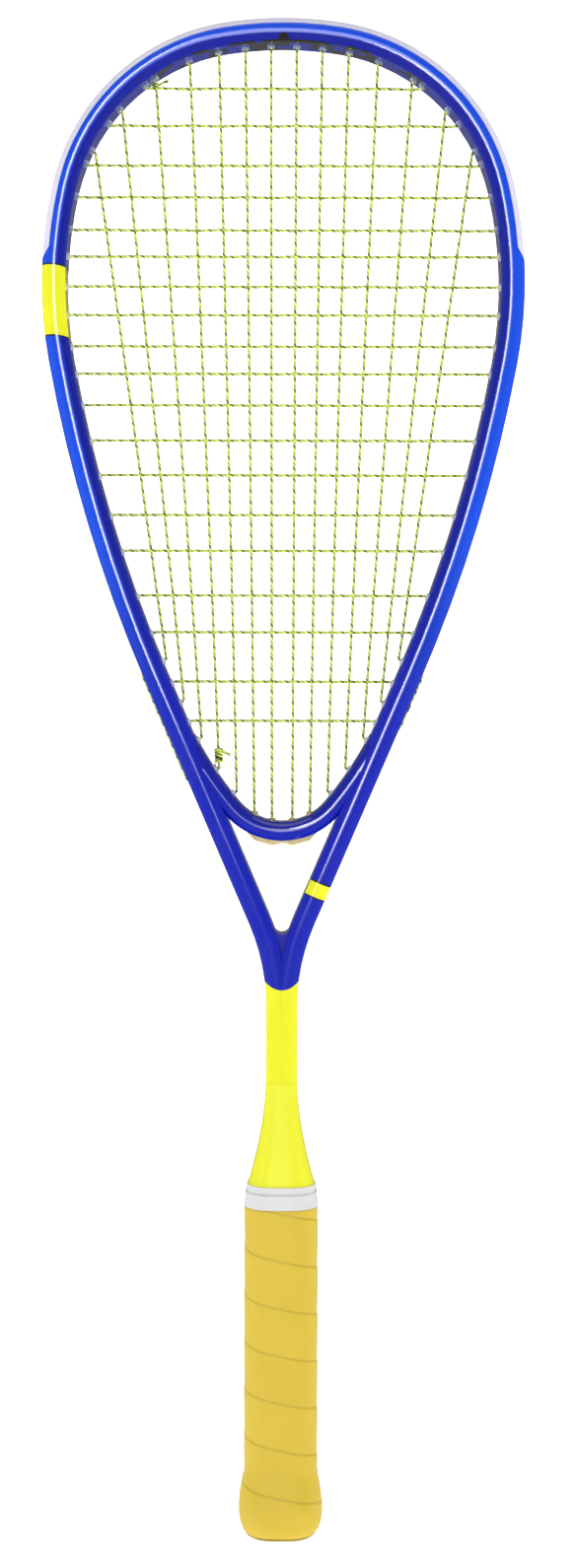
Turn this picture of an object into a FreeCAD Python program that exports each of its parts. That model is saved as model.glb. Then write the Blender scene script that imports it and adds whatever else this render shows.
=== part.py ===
import FreeCAD, Part

import math
import os

Vector = FreeCAD.Vector

# A squash racket, standing on its butt. Millimetres and degrees.
# X is across the face, Y is through the strings, Z runs from the butt to the crown.
# The strings lie in the plane Y = 0 and the front is the -Y side.

# Overall sizes
LENGTH = 685.0
HEAD_WIDTH = 215.0
HEAD_OPENING_LENGTH = 346.0

# Carbon tube: flat inner and outer walls, joined front and back by a round crest
TUBE_WIDTH = 10.6
TUBE_DEPTH = 20.0
TUBE_WALL = 0.9
CREST_SHIFT = -0.3
INNER_EDGE_DROP = 3.0
OUTER_EDGE_DROP = 4.0

# Centre line of the hoop: arcs from the middle of the crown down each side
CROWN_RADIUS = 0.7675 * HEAD_WIDTH
CROWN_TURN = 9.0
SHOULDER_TURN = 67.75
SIDE_RADIUS = 0.879 * HEAD_WIDTH
SIDE_TURN = 23.5
LOWER_RADIUS = 650.0
LEG_ANGLE = 23.2
LEG_BEND_RADIUS = 100.0
LEG_TRIM = 0.8
SHAFT_WIDTH = 14.1
SHAFT_WEB = 1.2
THROAT_RADIUS = 3.6

# Throat bridge
BRIDGE_WIDTH = 8.5
BRIDGE_DEPTH = 18.4
BRIDGE_EDGE_DROP = 3.0
BRIDGE_TURN = 50.0
BRIDGE_BLEND_RADIUS = 0.758 * HEAD_WIDTH
BRIDGE_CORNER_RADIUS = 2.5
BRIDGE_CORNER_REACH = 4
WING_TIP = 0.4

# String groove, grommets and bumper
GROOVE_WIDTH = 6.0
GROOVE_DEPTH = 2.6
BUMPER_THICKNESS = 3.0
BUMPER_FIT = 0.05
BUMPER_TAPER_TOP = 590.0
BUMPER_TAPER_END = 574.0
STRIP_THICKNESS = 0.85
STRIP_FIT = 0.1
STRIP_END = 322.0
BARREL_RADIUS = 1.7
BARREL_PROUD = 0.9
BARREL_FIT = 0.05
BORE_RADIUS = 0.87
TIE_BARREL_RADIUS = 2.5
THROAT_STRIP_HALF = 0.074 * HEAD_WIDTH
THROAT_STRIP_DEPTH = 7.0
THROAT_STRIP_THICKNESS = 0.8
THROAT_LOBE_THICKNESS = 2.6
THROAT_LOBE_FALL = 0.2
THROAT_MIDDLE_THICKNESS = 1.2
THROAT_STRIP_EDGE = 0.3
THROAT_RUN_HEIGHT = 1.15
THROAT_CHANNEL = 2.0

# Strings
STRING_DIAMETER = 1.25
WEAVE_GAP = 0.04
WEAVE_CUT = 0.1
GROMMET_BEND_RADIUS = 1.4
GROMMET_LEAD = 0.9
GROOVE_BEND_RADIUS = 1.3
RUN_BEND_RADIUS = 6.0
RUN_HEIGHT = 0.85
LANE = 1.5
LANE_SHIFT = 2.7
RUN_STEP = 12.0
BEND_SHARE = 0.45
TIE_RISE = 1.3
TIE_SIDE = 1.35
MAIN_TOPS = [share * HEAD_WIDTH for share in (0.0265, 0.0795, 0.1340, 0.1944, 0.2651, 0.3344, 0.3907)]
MAIN_BOTTOM_FIRST = 0.0214 * HEAD_WIDTH
MAIN_BOTTOM_PITCH = 0.0370 * HEAD_WIDTH
TOP_CROSS_DROP = 29.6
CROSS_GAPS = [16.4, 17.5, 14.0, 14.5, 11.7, 13.3, 12.6, 13.9, 12.2,
              14.0, 15.7, 15.5, 17.8, 16.0, 20.1, 16.5, 22.2, 17.7]
START_KNOT_MAIN = 3
FINISH_KNOT_MAIN = 4
START_KNOT_RINGS = 5
FINISH_KNOT_RINGS = 1
KNOT_PITCH = 1.3
START_KNOT_LEAD = 3.0
FINISH_KNOT_LEAD = 1.0
TAIL_LENGTH = 6.0
TAIL_RISE = 0.45
SPINE_RADIUS = 0.6
KNOT_LUMP_RADIUS = 0.75

# Handle
GRIP_WIDTH = 34.0
GRIP_DEPTH = 28.0
GRIP_CORNER = 12.5
GRIP_FLAT = 1.0
WRAP_THICKNESS = 1.8
WRAP_END_THICKNESS = 0.8
COLLAR_BOTTOM = 153.2
COLLAR_STEP = 159.7
COLLAR_TOP = 163.2
COLLAR_INSET = 0.1
COLLAR_STEP_WIDTH = 0.6
WRAP_TOP = 157.0
TAPE_THICKNESS = 0.2
FLARE_TOP = 210.0
FLARE_EDGE = 0.1
FLARE_STEPS = 8
FLARE_POWER = 1.75
FOAM_BOTTOM = 6.0
SHAFT_BOTTOM = 9.0
BUTT_WIDTH = GRIP_WIDTH + 4.7
BUTT_HEIGHT = 14.0
BUTT_FLARE_TOP = 34.0
BUTT_BOTTOM_WIDTH = GRIP_WIDTH - 9.0
BUTT_SWELL = 2.6
BUTT_RINGS = [0.0, 0.05, 0.11, 0.21, 0.39, 0.64, 1.0, 1.36, 1.71, 1.93]
WRAP_BOTTOM = 1.6
CAP_TOP = 27.0
STAPLE_WIRE = 0.8
STAPLE_WIDTH = 9.0
STAPLE_LEG = 7.0
STAPLE_HEIGHT = 19.0

TINY = 1e-6
Y_AXIS = Vector(0, 1, 0)


def sine(angle):
    return math.sin(math.radians(angle))


def cosine(angle):
    return math.cos(math.radians(angle))


def tangent(angle):
    return math.tan(math.radians(angle))


def joined(shapes):
    """One shape from pieces that meet or overlap."""
    first = shapes[0]
    if len(shapes) > 1:
        first = first.multiFuse(shapes[1:]).removeSplitter()
    return first


def mirrored(shape):
    return shape.mirror(Vector(0, 0, 0), Vector(1, 0, 0))


def solid_of(shape):
    """The only solid of a shape, so that no node holds a loose face."""
    solids = shape.Solids
    if len(solids) != 1:
        raise ValueError("expected one solid, found %d" % len(solids))
    return solids[0]


def prism(points, half_depth):
    """A flat outline in the XZ plane, carried to both sides of Y = 0."""
    corners = [Vector(x, -half_depth, z) for x, z in points]
    face = Part.Face(Part.makePolygon(corners + corners[:1]))
    return face.extrude(Y_AXIS * (2 * half_depth))


def disc(x, z, radius, half_depth):
    return Part.makeCylinder(radius, 2 * half_depth, Vector(x, -half_depth, z), Y_AXIS)


class Span:
    """One straight run (no turn) or arc of a centre line in the XZ plane."""

    def __init__(self, x, z, heading, begin, length, turn):
        self.x = x
        self.z = z
        self.heading = heading
        self.begin = begin
        self.length = length
        self.turn = turn

    def heading_at(self, station):
        return self.heading + self.turn * (station - self.begin) / self.length

    def point_at(self, station):
        done = station - self.begin
        if self.turn == 0:
            return self.x + done * cosine(self.heading), self.z - done * sine(self.heading)
        radius = self.length / math.radians(self.turn)
        heading = self.heading_at(station)
        return (self.x + radius * (sine(heading) - sine(self.heading)),
                self.z + radius * (cosine(heading) - cosine(self.heading)))


class CentreLine:
    """Straight runs and tangent arcs, starting on the plane X = 0.

    A heading is an angle clockwise from +X, seen from the front. A positive turn is
    clockwise. The outward side, where offsets are positive, is on the left of travel.
    """

    def __init__(self, z, heading=0.0):
        self.spans = []
        self.x = 0.0
        self.z = z
        self.heading = heading
        self.length = 0.0

    def add(self, length, turn=0.0):
        span = Span(self.x, self.z, self.heading, self.length, length, turn)
        self.spans.append(span)
        self.length += length
        self.x, self.z = span.point_at(self.length)
        self.heading += turn

    def arc(self, radius, turn):
        self.add(radius * math.radians(abs(turn)), turn)

    def span_at(self, station):
        for span in self.spans:
            if station <= span.begin + span.length + TINY:
                return span
        return self.spans[-1]

    def heading_at(self, station):
        return self.span_at(station).heading_at(station)

    def outward(self, station):
        heading = self.heading_at(station)
        return Vector(sine(heading), 0, cosine(heading))

    def point(self, station, offset=0.0):
        x, z = self.span_at(station).point_at(station)
        return Vector(x, 0, z) + self.outward(station) * offset

    def find(self, measure, low, high):
        """The station between two others where measure(station) is zero."""
        sign = 1.0 if measure(high) > measure(low) else -1.0
        for _ in range(60):
            middle = (low + high) / 2
            if sign * measure(middle) > 0:
                high = middle
            else:
                low = middle
        return (low + high) / 2

    def sweep(self, section, begin, end):
        """Carry a section, a face with X outward and Y through, from one station to another."""
        pieces = []
        for span in self.spans:
            low = max(begin, span.begin)
            high = min(end, span.begin + span.length)
            if high - low > TINY:
                pieces.append(self.sweep_span(section, span, low, high))
        return joined(pieces)

    def sweep_span(self, section, span, low, high):
        heading = span.heading_at(low)
        x, z = span.point_at(low)
        face = section.copy()
        face.Placement = FreeCAD.Placement(Vector(x, 0, z), FreeCAD.Rotation(Y_AXIS, heading - 90))
        if span.turn == 0:
            return face.extrude(Vector(cosine(heading), 0, -sine(heading)) * (high - low))
        radius = span.length / math.radians(span.turn)
        centre = Vector(x - radius * sine(heading), 0, z - radius * cosine(heading))
        turn = span.turn * (high - low) / span.length
        return face.revolve(centre, Y_AXIS * math.copysign(1, turn), abs(turn))


class CrownedSection:
    """A tube section with flat side walls and a circular crest at the front and back."""

    def __init__(self, half_width, half_depth, crest, inner_drop, outer_drop):
        self.half_width = half_width
        points = [(-half_width, half_depth - inner_drop), (crest, half_depth),
                  (half_width, half_depth - outer_drop)]
        self.circle(points)

    def circle(self, points):
        (ax, ay), (bx, by), (cx, cy) = points
        spread = 2 * (ax * (by - cy) + bx * (cy - ay) + cx * (ay - by))
        a, b, c = ax * ax + ay * ay, bx * bx + by * by, cx * cx + cy * cy
        self.centre_u = (a * (by - cy) + b * (cy - ay) + c * (ay - by)) / spread
        self.centre_y = (a * (cx - bx) + b * (ax - cx) + c * (bx - ax)) / spread
        self.radius = math.hypot(bx - self.centre_u, by - self.centre_y)

    def half_depth_at(self, u, inset=0.0):
        radius = self.radius - inset
        return self.centre_y + math.sqrt(radius ** 2 - (u - self.centre_u) ** 2)

    def crest(self, low, high, side, inset):
        points = []
        for u in (low, (low + high) / 2, high):
            points.append(Vector(u, side * self.half_depth_at(u, inset), 0))
        return Part.Arc(*points).toShape()

    def face(self, low, high, inset=0.0, groove=None):
        """The section between two offsets; groove is (half width, floor offset)."""
        high_edge = self.half_depth_at(high, inset)
        outer = [Vector(high, -high_edge, 0), Vector(high, high_edge, 0)]
        if groove:
            half, floor = groove
            outer[1:1] = [Vector(high, -half, 0), Vector(floor, -half, 0),
                          Vector(floor, half, 0), Vector(high, half, 0)]
        low_edge = self.half_depth_at(low, inset)
        edges = [self.crest(low, high, -1, inset)]
        edges += Part.makePolygon(outer).Edges
        edges.append(self.crest(low, high, 1, inset))
        edges.append(Part.makeLine(Vector(low, low_edge, 0), Vector(low, -low_edge, 0)))
        return Part.Face(Part.Wire(Part.__sortEdges__(edges)))


def rectangle(low, high, half_depth):
    corners = [Vector(low, -half_depth, 0), Vector(high, -half_depth, 0),
               Vector(high, half_depth, 0), Vector(low, half_depth, 0)]
    return Part.Face(Part.makePolygon(corners + corners[:1]))


# Offsets from the tube's centre line, outward positive
HALF_TUBE = TUBE_WIDTH / 2
SHAFT_OFFSET = SHAFT_WIDTH / 2 - HALF_TUBE
GROOVE_FLOOR = HALF_TUBE - GROOVE_DEPTH
REBATE = HALF_TUBE - BUMPER_THICKNESS
STRIP_FACE = GROOVE_FLOOR + STRIP_THICKNESS
RUN_OFFSET = STRIP_FACE + RUN_HEIGHT
BEND_OFFSET = HALF_TUBE + BARREL_PROUD + GROMMET_LEAD
TUBE = CrownedSection(HALF_TUBE, TUBE_DEPTH / 2, CREST_SHIFT, INNER_EDGE_DROP, OUTER_EDGE_DROP)
BRIDGE = CrownedSection(BRIDGE_WIDTH / 2, BRIDGE_DEPTH / 2, 0.0, BRIDGE_EDGE_DROP, BRIDGE_EDGE_DROP)


def hoop_line():
    """The right-hand tube, from the middle of the crown to the bottom of the shaft."""
    half_width = HEAD_WIDTH / 2 - HALF_TUBE
    shoulder_end = CROWN_TURN + SHOULDER_TURN
    shoulder = half_width - CROWN_RADIUS * sine(CROWN_TURN) - SIDE_RADIUS * (1 - sine(shoulder_end))
    shoulder_radius = shoulder / (sine(shoulder_end) - sine(CROWN_TURN))
    line = CentreLine(LENGTH - HALF_TUBE)
    line.arc(CROWN_RADIUS, CROWN_TURN)
    line.arc(shoulder_radius, SHOULDER_TURN)
    line.arc(SIDE_RADIUS, SIDE_TURN)
    line.arc(LOWER_RADIUS, 90 + LEG_ANGLE - line.heading)
    bend_width = LEG_BEND_RADIUS * (1 - cosine(LEG_ANGLE))
    line.add((line.x - SHAFT_OFFSET - bend_width) / sine(LEG_ANGLE))
    line.arc(LEG_BEND_RADIUS, -LEG_ANGLE)
    line.add(line.z - SHAFT_BOTTOM)
    return line


def axis_x_at(z, offset):
    """X of the straight part of the right leg, at a height and an offset."""
    leg = HOOP.spans[-3]
    return leg.x + (z - leg.z) * tangent(LEG_ANGLE) + offset / cosine(LEG_ANGLE)


def bridge_line():
    """The right half of the bridge: its top is tangent to the leg's inner wall."""
    top = LENGTH - TUBE_WIDTH - HEAD_OPENING_LENGTH
    leg_turn = 90 - LEG_ANGLE
    rise = BRIDGE_BLEND_RADIUS * (cosine(BRIDGE_TURN) - cosine(leg_turn))
    run = BRIDGE_BLEND_RADIUS * (sine(leg_turn) - sine(BRIDGE_TURN))
    reach = axis_x_at(top, -HALF_TUBE) + tangent(LEG_ANGLE) * rise - run
    radius = reach / (sine(BRIDGE_TURN) - tangent(LEG_ANGLE) * (1 - cosine(BRIDGE_TURN)))
    line = CentreLine(top - BRIDGE_WIDTH / 2)
    line.arc(radius + BRIDGE_WIDTH / 2, -BRIDGE_TURN)
    line.arc(BRIDGE_BLEND_RADIUS + BRIDGE_WIDTH / 2, BRIDGE_TURN - leg_turn)
    return line


HOOP = hoop_line()
YOKE = bridge_line()
LEG_BEND = HOOP.spans[-2]
HOOP_SIDE = HOOP.spans[2].begin


def hoop_station(z, offset=0.0):
    """The station on the side or leg of the hoop at a height."""
    return HOOP.find(lambda station: HOOP.point(station, offset).z - z, 0.0, LEG_BEND.begin)


BUMPER_TIP = hoop_station(BUMPER_TAPER_END, HALF_TUBE)
BUMPER_SHOULDER = hoop_station(BUMPER_TAPER_TOP, REBATE)
GROOVE_END = hoop_station(STRIP_END, HALF_TUBE)


class Hole:
    """A grommet hole: where the string bends inside the head, and where it leaves outside."""

    def __init__(self, side, station, bend, base, run):
        self.side = side
        self.station = station
        self.bend = Vector(side * bend.x, 0, bend.z)
        self.base = Vector(side * base.x, 0, base.z)
        self.run = Vector(side * run.x, 0, run.z)
        self.tie = False

    def direction(self):
        return (self.run - self.bend).normalize()

    def barrel_end(self):
        return self.bend + self.direction() * GROMMET_LEAD

    def centre_shift(self):
        return TIE_SIDE / 2 if self.tie else 0.0

    def cylinder(self, radius, begin, end, shift):
        offset = Vector(0, shift, 0)
        way = end - begin
        return Part.makeCylinder(radius, way.Length, begin + offset, way)

    def barrel(self):
        radius = TIE_BARREL_RADIUS if self.tie else BARREL_RADIUS
        return self.cylinder(radius, self.barrel_end(), self.base, self.centre_shift())

    def clearance(self):
        radius = (TIE_BARREL_RADIUS if self.tie else BARREL_RADIUS) + BARREL_FIT
        begin = self.bend - self.direction() * BARREL_PROUD
        return self.cylinder(radius, begin, self.base, self.centre_shift())

    def bores(self):
        begin = self.bend - self.direction()
        end = self.run + self.direction() * STRING_DIAMETER
        shifts = [0.0, TIE_SIDE] if self.tie else [0.0]
        return [self.cylinder(BORE_RADIUS, begin, end, shift) for shift in shifts]


def hoop_hole(side, station, inner=-HALF_TUBE):
    """A hole square to the tube; inner is the offset of the wall that the string comes from."""
    bend = HOOP.point(station, inner - BARREL_PROUD - GROMMET_LEAD)
    base = HOOP.point(station, (GROOVE_FLOOR + STRIP_FACE) / 2)
    run = HOOP.point(station, RUN_OFFSET)
    return Hole(side, station, bend, base, run)


def main_top_hole(side, x):
    station = HOOP.find(lambda s: HOOP.point(s, -BEND_OFFSET).x - x, 0.0, HOOP_SIDE)
    return hoop_hole(side, station)


def bridge_bend_point(x):
    offset = BRIDGE_WIDTH / 2 + BARREL_PROUD + GROMMET_LEAD
    station = YOKE.find(lambda s: YOKE.point(s, offset).x - x, 0.0, YOKE.length)
    return YOKE.point(station, offset)


def bridge_underside(x):
    radius = BRIDGE_UNDER_RADIUS
    return BRIDGE_CENTRE_Z - math.sqrt(radius ** 2 - x ** 2)


def main_bottom_hole(side, x):
    """Through the bridge near the middle, through bridge and leg beside it, through the leg above."""
    bend = bridge_bend_point(x) if x < YOKE.point(WING_END, BRIDGE_WIDTH / 2).x else None
    if x < THROAT_STRIP_HALF:
        base = Vector(x, 0, bridge_underside(x) - THROAT_STRIP_THICKNESS / 2)
        run = Vector(x, 0, bridge_underside(x) - THROAT_STRIP_THICKNESS - THROAT_RUN_HEIGHT)
        return Hole(side, None, bend, base, run)
    if bend is None:
        station = HOOP.find(lambda s: HOOP.point(s, -BEND_OFFSET).x - x, HOOP_SIDE, LEG_BEND.begin)
        return hoop_hole(side, station)

    def along(station):
        heading = HOOP.heading_at(station)
        way = Vector(cosine(heading), 0, -sine(heading))
        return (HOOP.point(station) - bend).dot(way)

    station = HOOP.find(along, HOOP_SIDE, LEG_BEND.begin)
    inner = -(bend - HOOP.point(station)).Length + BARREL_PROUD + GROMMET_LEAD
    return hoop_hole(side, station, inner)


def cross_hole(side, z):
    return hoop_hole(side, hoop_station(z, -BEND_OFFSET))


BRIDGE_UNDER_RADIUS = YOKE.spans[0].length / math.radians(BRIDGE_TURN) + BRIDGE_WIDTH / 2
BRIDGE_CENTRE_Z = YOKE.point(0.0).z - BRIDGE_WIDTH / 2 + BRIDGE_UNDER_RADIUS
WING_END = YOKE.length - math.sqrt(2 * BRIDGE_BLEND_RADIUS * WING_TIP)

MAIN_COUNT = len(MAIN_TOPS)
TOP_HOLES = {}
BOTTOM_HOLES = {}
for side in (-1, 1):
    for number, top in enumerate(MAIN_TOPS):
        TOP_HOLES[side, number] = main_top_hole(side, top)
        bottom = MAIN_BOTTOM_FIRST + MAIN_BOTTOM_PITCH * number
        BOTTOM_HOLES[side, number] = main_bottom_hole(side, bottom)
BOTTOM_HOLES[-1, START_KNOT_MAIN].tie = True
TOP_HOLES[-1, FINISH_KNOT_MAIN].tie = True

CROSS_HEIGHTS = [LENGTH - TOP_CROSS_DROP - sum(CROSS_GAPS[:n]) for n in range(len(CROSS_GAPS) + 1)]
CROSS_HOLES = {}
for side in (-1, 1):
    for number, height in enumerate(CROSS_HEIGHTS):
        CROSS_HOLES[side, number] = cross_hole(side, height)

HOOP_HOLES = list(TOP_HOLES.values()) + list(CROSS_HOLES.values())
HOOP_HOLES += [hole for hole in BOTTOM_HOLES.values() if hole.station is not None]
BRIDGE_HOLES = [hole for hole in BOTTOM_HOLES.values() if hole.station is None]


# ---------------------------------------------------------------- frame and bridge

def taper_block():
    """Everything below the slanted joint where each end of the bumper meets the frame."""
    high = HOOP.point(BUMPER_SHOULDER, REBATE - BUMPER_THICKNESS)
    low = HOOP.point(BUMPER_TIP, HALF_TUBE + BUMPER_THICKNESS)
    slope = low - high
    high = high - slope
    low = low + slope
    points = [(0.0, high.z), (high.x, high.z), (low.x, low.z), (low.x, 0.0), (0.0, 0.0)]
    return prism(points, TUBE_DEPTH)


def outer_tube():
    """The right-hand tube's outside, with its bumper rebate, string groove and plain leg."""
    groove = (GROOVE_WIDTH / 2, GROOVE_FLOOR)
    leg_start = hoop_station(YOKE.point(0.0, 1.5 * BRIDGE_WIDTH).z)
    rebated = HOOP.sweep(TUBE.face(-HALF_TUBE, REBATE), 0.0, BUMPER_TIP)
    seat = HOOP.sweep(TUBE.face(REBATE, HALF_TUBE, 0.0), BUMPER_SHOULDER - BUMPER_THICKNESS, BUMPER_TIP)
    seat = seat.common(taper_block())
    channel = HOOP.sweep(rectangle(GROOVE_FLOOR, HALF_TUBE + 1, GROOVE_WIDTH / 2),
                         BUMPER_SHOULDER - BUMPER_THICKNESS, BUMPER_TIP)
    grooved = HOOP.sweep(TUBE.face(-HALF_TUBE, HALF_TUBE, 0.0, groove), BUMPER_TIP, leg_start)
    lower_groove = HOOP.sweep(TUBE.face(LEG_TRIM - HALF_TUBE, HALF_TUBE, 0.0, groove), leg_start, GROOVE_END)
    plain = HOOP.sweep(TUBE.face(LEG_TRIM - HALF_TUBE, HALF_TUBE), GROOVE_END, HOOP.length)
    return joined([rebated, seat.cut(channel), grooved, lower_groove, plain])


def tube_cavity():
    """The hollow inside the right-hand tube, closed at the bottom of the shaft."""
    low = LEG_TRIM - HALF_TUBE + TUBE_WALL
    high = REBATE - TUBE_WALL
    cavity = HOOP.sweep(TUBE.face(low, high, TUBE_WALL), 0.0, HOOP.length - TUBE_WALL)
    web = Part.makeBox(HEAD_WIDTH, 2 * TUBE_DEPTH, LEG_BEND.z,
                       Vector(SHAFT_WEB / 2 - HEAD_WIDTH, -TUBE_DEPTH, 0))
    return cavity.cut(web)


def throat_web():
    """The rounded bottom of the throat, between the two legs."""
    bend = HOOP.spans[-1]
    centre_x = SHAFT_OFFSET + LEG_BEND_RADIUS
    reach = LEG_BEND_RADIUS + HALF_TUBE - LEG_TRIM
    touch = math.sqrt((reach + THROAT_RADIUS) ** 2 - centre_x ** 2)
    top = bend.z + touch
    angle = math.asin(touch / (reach + THROAT_RADIUS))
    wall_x = centre_x - reach * math.cos(angle)
    wall_z = bend.z + reach * math.sin(angle)
    points = [(-wall_x, wall_z), (wall_x, wall_z), (0.0, bend.z)]
    half_depth = TUBE_DEPTH / 2 - INNER_EDGE_DROP
    return prism(points, half_depth).cut(disc(0.0, top, THROAT_RADIUS, TUBE_DEPTH))


def hoop_outside():
    right = outer_tube()
    return joined([right, mirrored(right), throat_web()])


def frame_tube(outside):
    """The one-piece carbon moulding: hoop, legs and twin-chambered shaft."""
    cavity = tube_cavity()
    shape = outside.cut(joined([cavity, mirrored(cavity)]))
    return solid_of(shape.cut([hole.clearance() for hole in HOOP_HOLES]))


def bridge_corner():
    """The rounded corner below the right end of the bridge, against the leg."""
    radius = BRIDGE_CORNER_RADIUS
    inner = LEG_TRIM - HALF_TUBE

    def miss(station):
        centre = HOOP.point(station, inner - radius)
        return math.hypot(centre.x, centre.z - BRIDGE_CENTRE_Z) - BRIDGE_UNDER_RADIUS - radius

    station = HOOP.find(miss, hoop_station(YOKE.point(WING_END).z), LEG_BEND.begin)
    centre = HOOP.point(station, inner - radius)
    leg_touch = HOOP.point(station, inner)
    reach = Vector(0, 0, BRIDGE_CENTRE_Z) - centre
    under_touch = centre + reach.normalize() * radius
    corner = HOOP.point(hoop_station(leg_touch.z + BRIDGE_CORNER_REACH * radius), 0.0)
    points = [(leg_touch.x, leg_touch.z), (corner.x, corner.z), (under_touch.x, under_touch.z)]
    half_depth = BRIDGE_DEPTH / 2 - BRIDGE_EDGE_DROP
    return prism(points, half_depth).cut(disc(centre.x, centre.z, radius, TUBE_DEPTH))


def throat_bridge(outside):
    """The moulded yoke that closes the bottom of the head, bonded between the legs."""
    half = YOKE.sweep(BRIDGE.face(-BRIDGE_WIDTH / 2, BRIDGE_WIDTH / 2), 0.0, WING_END)
    half = joined([half, bridge_corner()])
    shape = joined([half, mirrored(half)]).cut(outside)
    pieces = sorted(shape.Solids, key=lambda solid: solid.Volume)
    holes = [hole.clearance() for hole in HOOP_HOLES + BRIDGE_HOLES]
    return solid_of(pieces[-1].cut(holes))


# ---------------------------------------------------------------- bumper and grommets

def bored(shape, holes):
    cutters = []
    for hole in holes:
        cutters += hole.bores()
    return solid_of(shape.cut(cutters))


def is_under_bumper(hole):
    return hole.station < BUMPER_SHOULDER


def bumper_guard():
    """The clear guard over the crown, with its string channel and grommet barrels."""
    channel = (GROOVE_WIDTH / 2 - STRIP_FIT, STRIP_FACE)
    section = TUBE.face(REBATE + BUMPER_FIT, HALF_TUBE, 0.0, channel)
    half = HOOP.sweep(section, 0.0, BUMPER_TIP).cut(taper_block().translated(Vector(0, 0, BUMPER_FIT)))
    half = half.cut([hole.clearance() for hole in HOOP_HOLES if not is_under_bumper(hole)])
    barrels = [hole.barrel() for hole in HOOP_HOLES if is_under_bumper(hole)]
    return bored(joined([half, mirrored(half)] + barrels), HOOP_HOLES)


def grommet_strip(side):
    """The side strip in the string groove, from the bumper's end down to the leg."""
    section = rectangle(GROOVE_FLOOR, STRIP_FACE, GROOVE_WIDTH / 2 - STRIP_FIT)
    band = HOOP.sweep(section, BUMPER_SHOULDER, GROOVE_END - STRIP_FIT).common(taper_block())
    if side < 0:
        band = mirrored(band)
    holes = [hole for hole in HOOP_HOLES if hole.side == side and not is_under_bumper(hole)]
    return bored(joined([band] + [hole.barrel() for hole in holes]), holes)


def throat_grommet_strip():
    """The strip under the bridge: two lobes hide the string loops beside the middle."""
    half = THROAT_STRIP_HALF
    first = MAIN_BOTTOM_FIRST
    second = MAIN_BOTTOM_FIRST + MAIN_BOTTOM_PITCH

    def below(x, depth):
        return x, bridge_underside(x) - depth

    right = [below(0.0, THROAT_MIDDLE_THICKNESS), below(first, THROAT_LOBE_THICKNESS),
             below(second, THROAT_LOBE_THICKNESS - THROAT_LOBE_FALL), below(half, THROAT_STRIP_EDGE)]
    left = [(-x, z) for x, z in reversed(right[1:])]
    top = [(half, BRIDGE_CENTRE_Z), (-half, BRIDGE_CENTRE_Z)]
    blank = prism(left + right + top, THROAT_STRIP_DEPTH / 2)
    blank = blank.cut(disc(0.0, BRIDGE_CENTRE_Z, BRIDGE_UNDER_RADIUS, TUBE_DEPTH))
    floor = Part.makeCylinder(BRIDGE_UNDER_RADIUS + 2 * THROAT_LOBE_THICKNESS, THROAT_CHANNEL,
                              Vector(0, -THROAT_CHANNEL / 2, BRIDGE_CENTRE_Z), Y_AXIS)
    inner = Part.makeCylinder(BRIDGE_UNDER_RADIUS + THROAT_STRIP_THICKNESS, THROAT_CHANNEL,
                              Vector(0, -THROAT_CHANNEL / 2, BRIDGE_CENTRE_Z), Y_AXIS)
    channel = floor.cut(inner)
    shape = blank.cut(channel)
    barrels = [hole.barrel() for hole in BRIDGE_HOLES]
    return bored(joined([shape] + barrels), BRIDGE_HOLES)


# ---------------------------------------------------------------- strings

class Route:
    """Points that a string passes, each with the radius that it bends at there.

    With no radius, the bend is the arc that passes inside its point by WEAVE_CUT.
    """

    def __init__(self):
        self.points = []

    def to(self, point, radius=None):
        self.points.append((Vector(point), radius))

    def bends(self):
        """The bend at each inner point: where it begins, its centre, axis, turn and end."""
        bends = []
        for index in range(1, len(self.points) - 1):
            before = self.points[index - 1][0]
            corner, radius = self.points[index]
            after = self.points[index + 1][0]
            back = before - corner
            ahead = after - corner
            shorter = min(back.Length, ahead.Length)
            back.normalize()
            ahead.normalize()
            turn = math.pi - back.getAngle(ahead)
            if turn < TINY:
                continue
            if radius is None:
                radius = WEAVE_CUT / (1 / math.cos(turn / 2) - 1)
            length = min(radius * math.tan(turn / 2), BEND_SHARE * shorter)
            radius = length / math.tan(turn / 2)
            centre = corner + (back + ahead).normalize() * (radius / math.cos(turn / 2))
            axis = ahead.cross(back).normalize()
            bends.append((corner + back * length, centre, axis, turn, corner + ahead * length))
        return bends

    def tube(self):
        """A round tube of straight runs and tangent arcs, closed at both ends."""
        here = self.points[0][0]
        way = (self.points[1][0] - here).normalize()
        across = way.cross(Vector(1, 2, 3)).normalize()
        faces = [Part.Face(Part.Wire([rim(here, way, across)]))]
        length = 0.0
        for begin, centre, axis, turn, end in self.bends():
            faces.append(rim(here, way, across).extrude(begin - here))
            faces.append(rim(begin, way, across).revolve(centre, axis, math.degrees(turn)))
            length += (begin - here).Length + (begin - centre).Length * turn
            spin = FreeCAD.Rotation(axis, math.degrees(turn))
            way = spin.multVec(way).normalize()
            across = spin.multVec(across)
            across = (across - way * across.dot(way)).normalize()
            here = end
        last = self.points[-1][0]
        faces.append(rim(here, way, across).extrude(last - here))
        faces.append(Part.Face(Part.Wire([rim(last, way, across)])))
        length += (last - here).Length
        shell = Part.Shell(faces)
        shell.sewShape()
        solid = Part.makeSolid(shell)
        if solid.Volume < 0:
            solid.reverse()
        ratio = solid.Volume / (math.pi * STRING_DIAMETER ** 2 / 4 * length)
        print("string of %.0f mm: volume is %.4f of section times length" % (length, ratio))
        return solid


def rim(centre, way, across):
    """The string's round edge at a point, its seam on the side that is given."""
    circle = Part.Circle(centre, way, STRING_DIAMETER / 2)
    circle.XAxis = across
    return circle.toShape()


def main_bend(side, number, top):
    holes = TOP_HOLES if top else BOTTOM_HOLES
    return holes[side, number].bend


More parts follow.
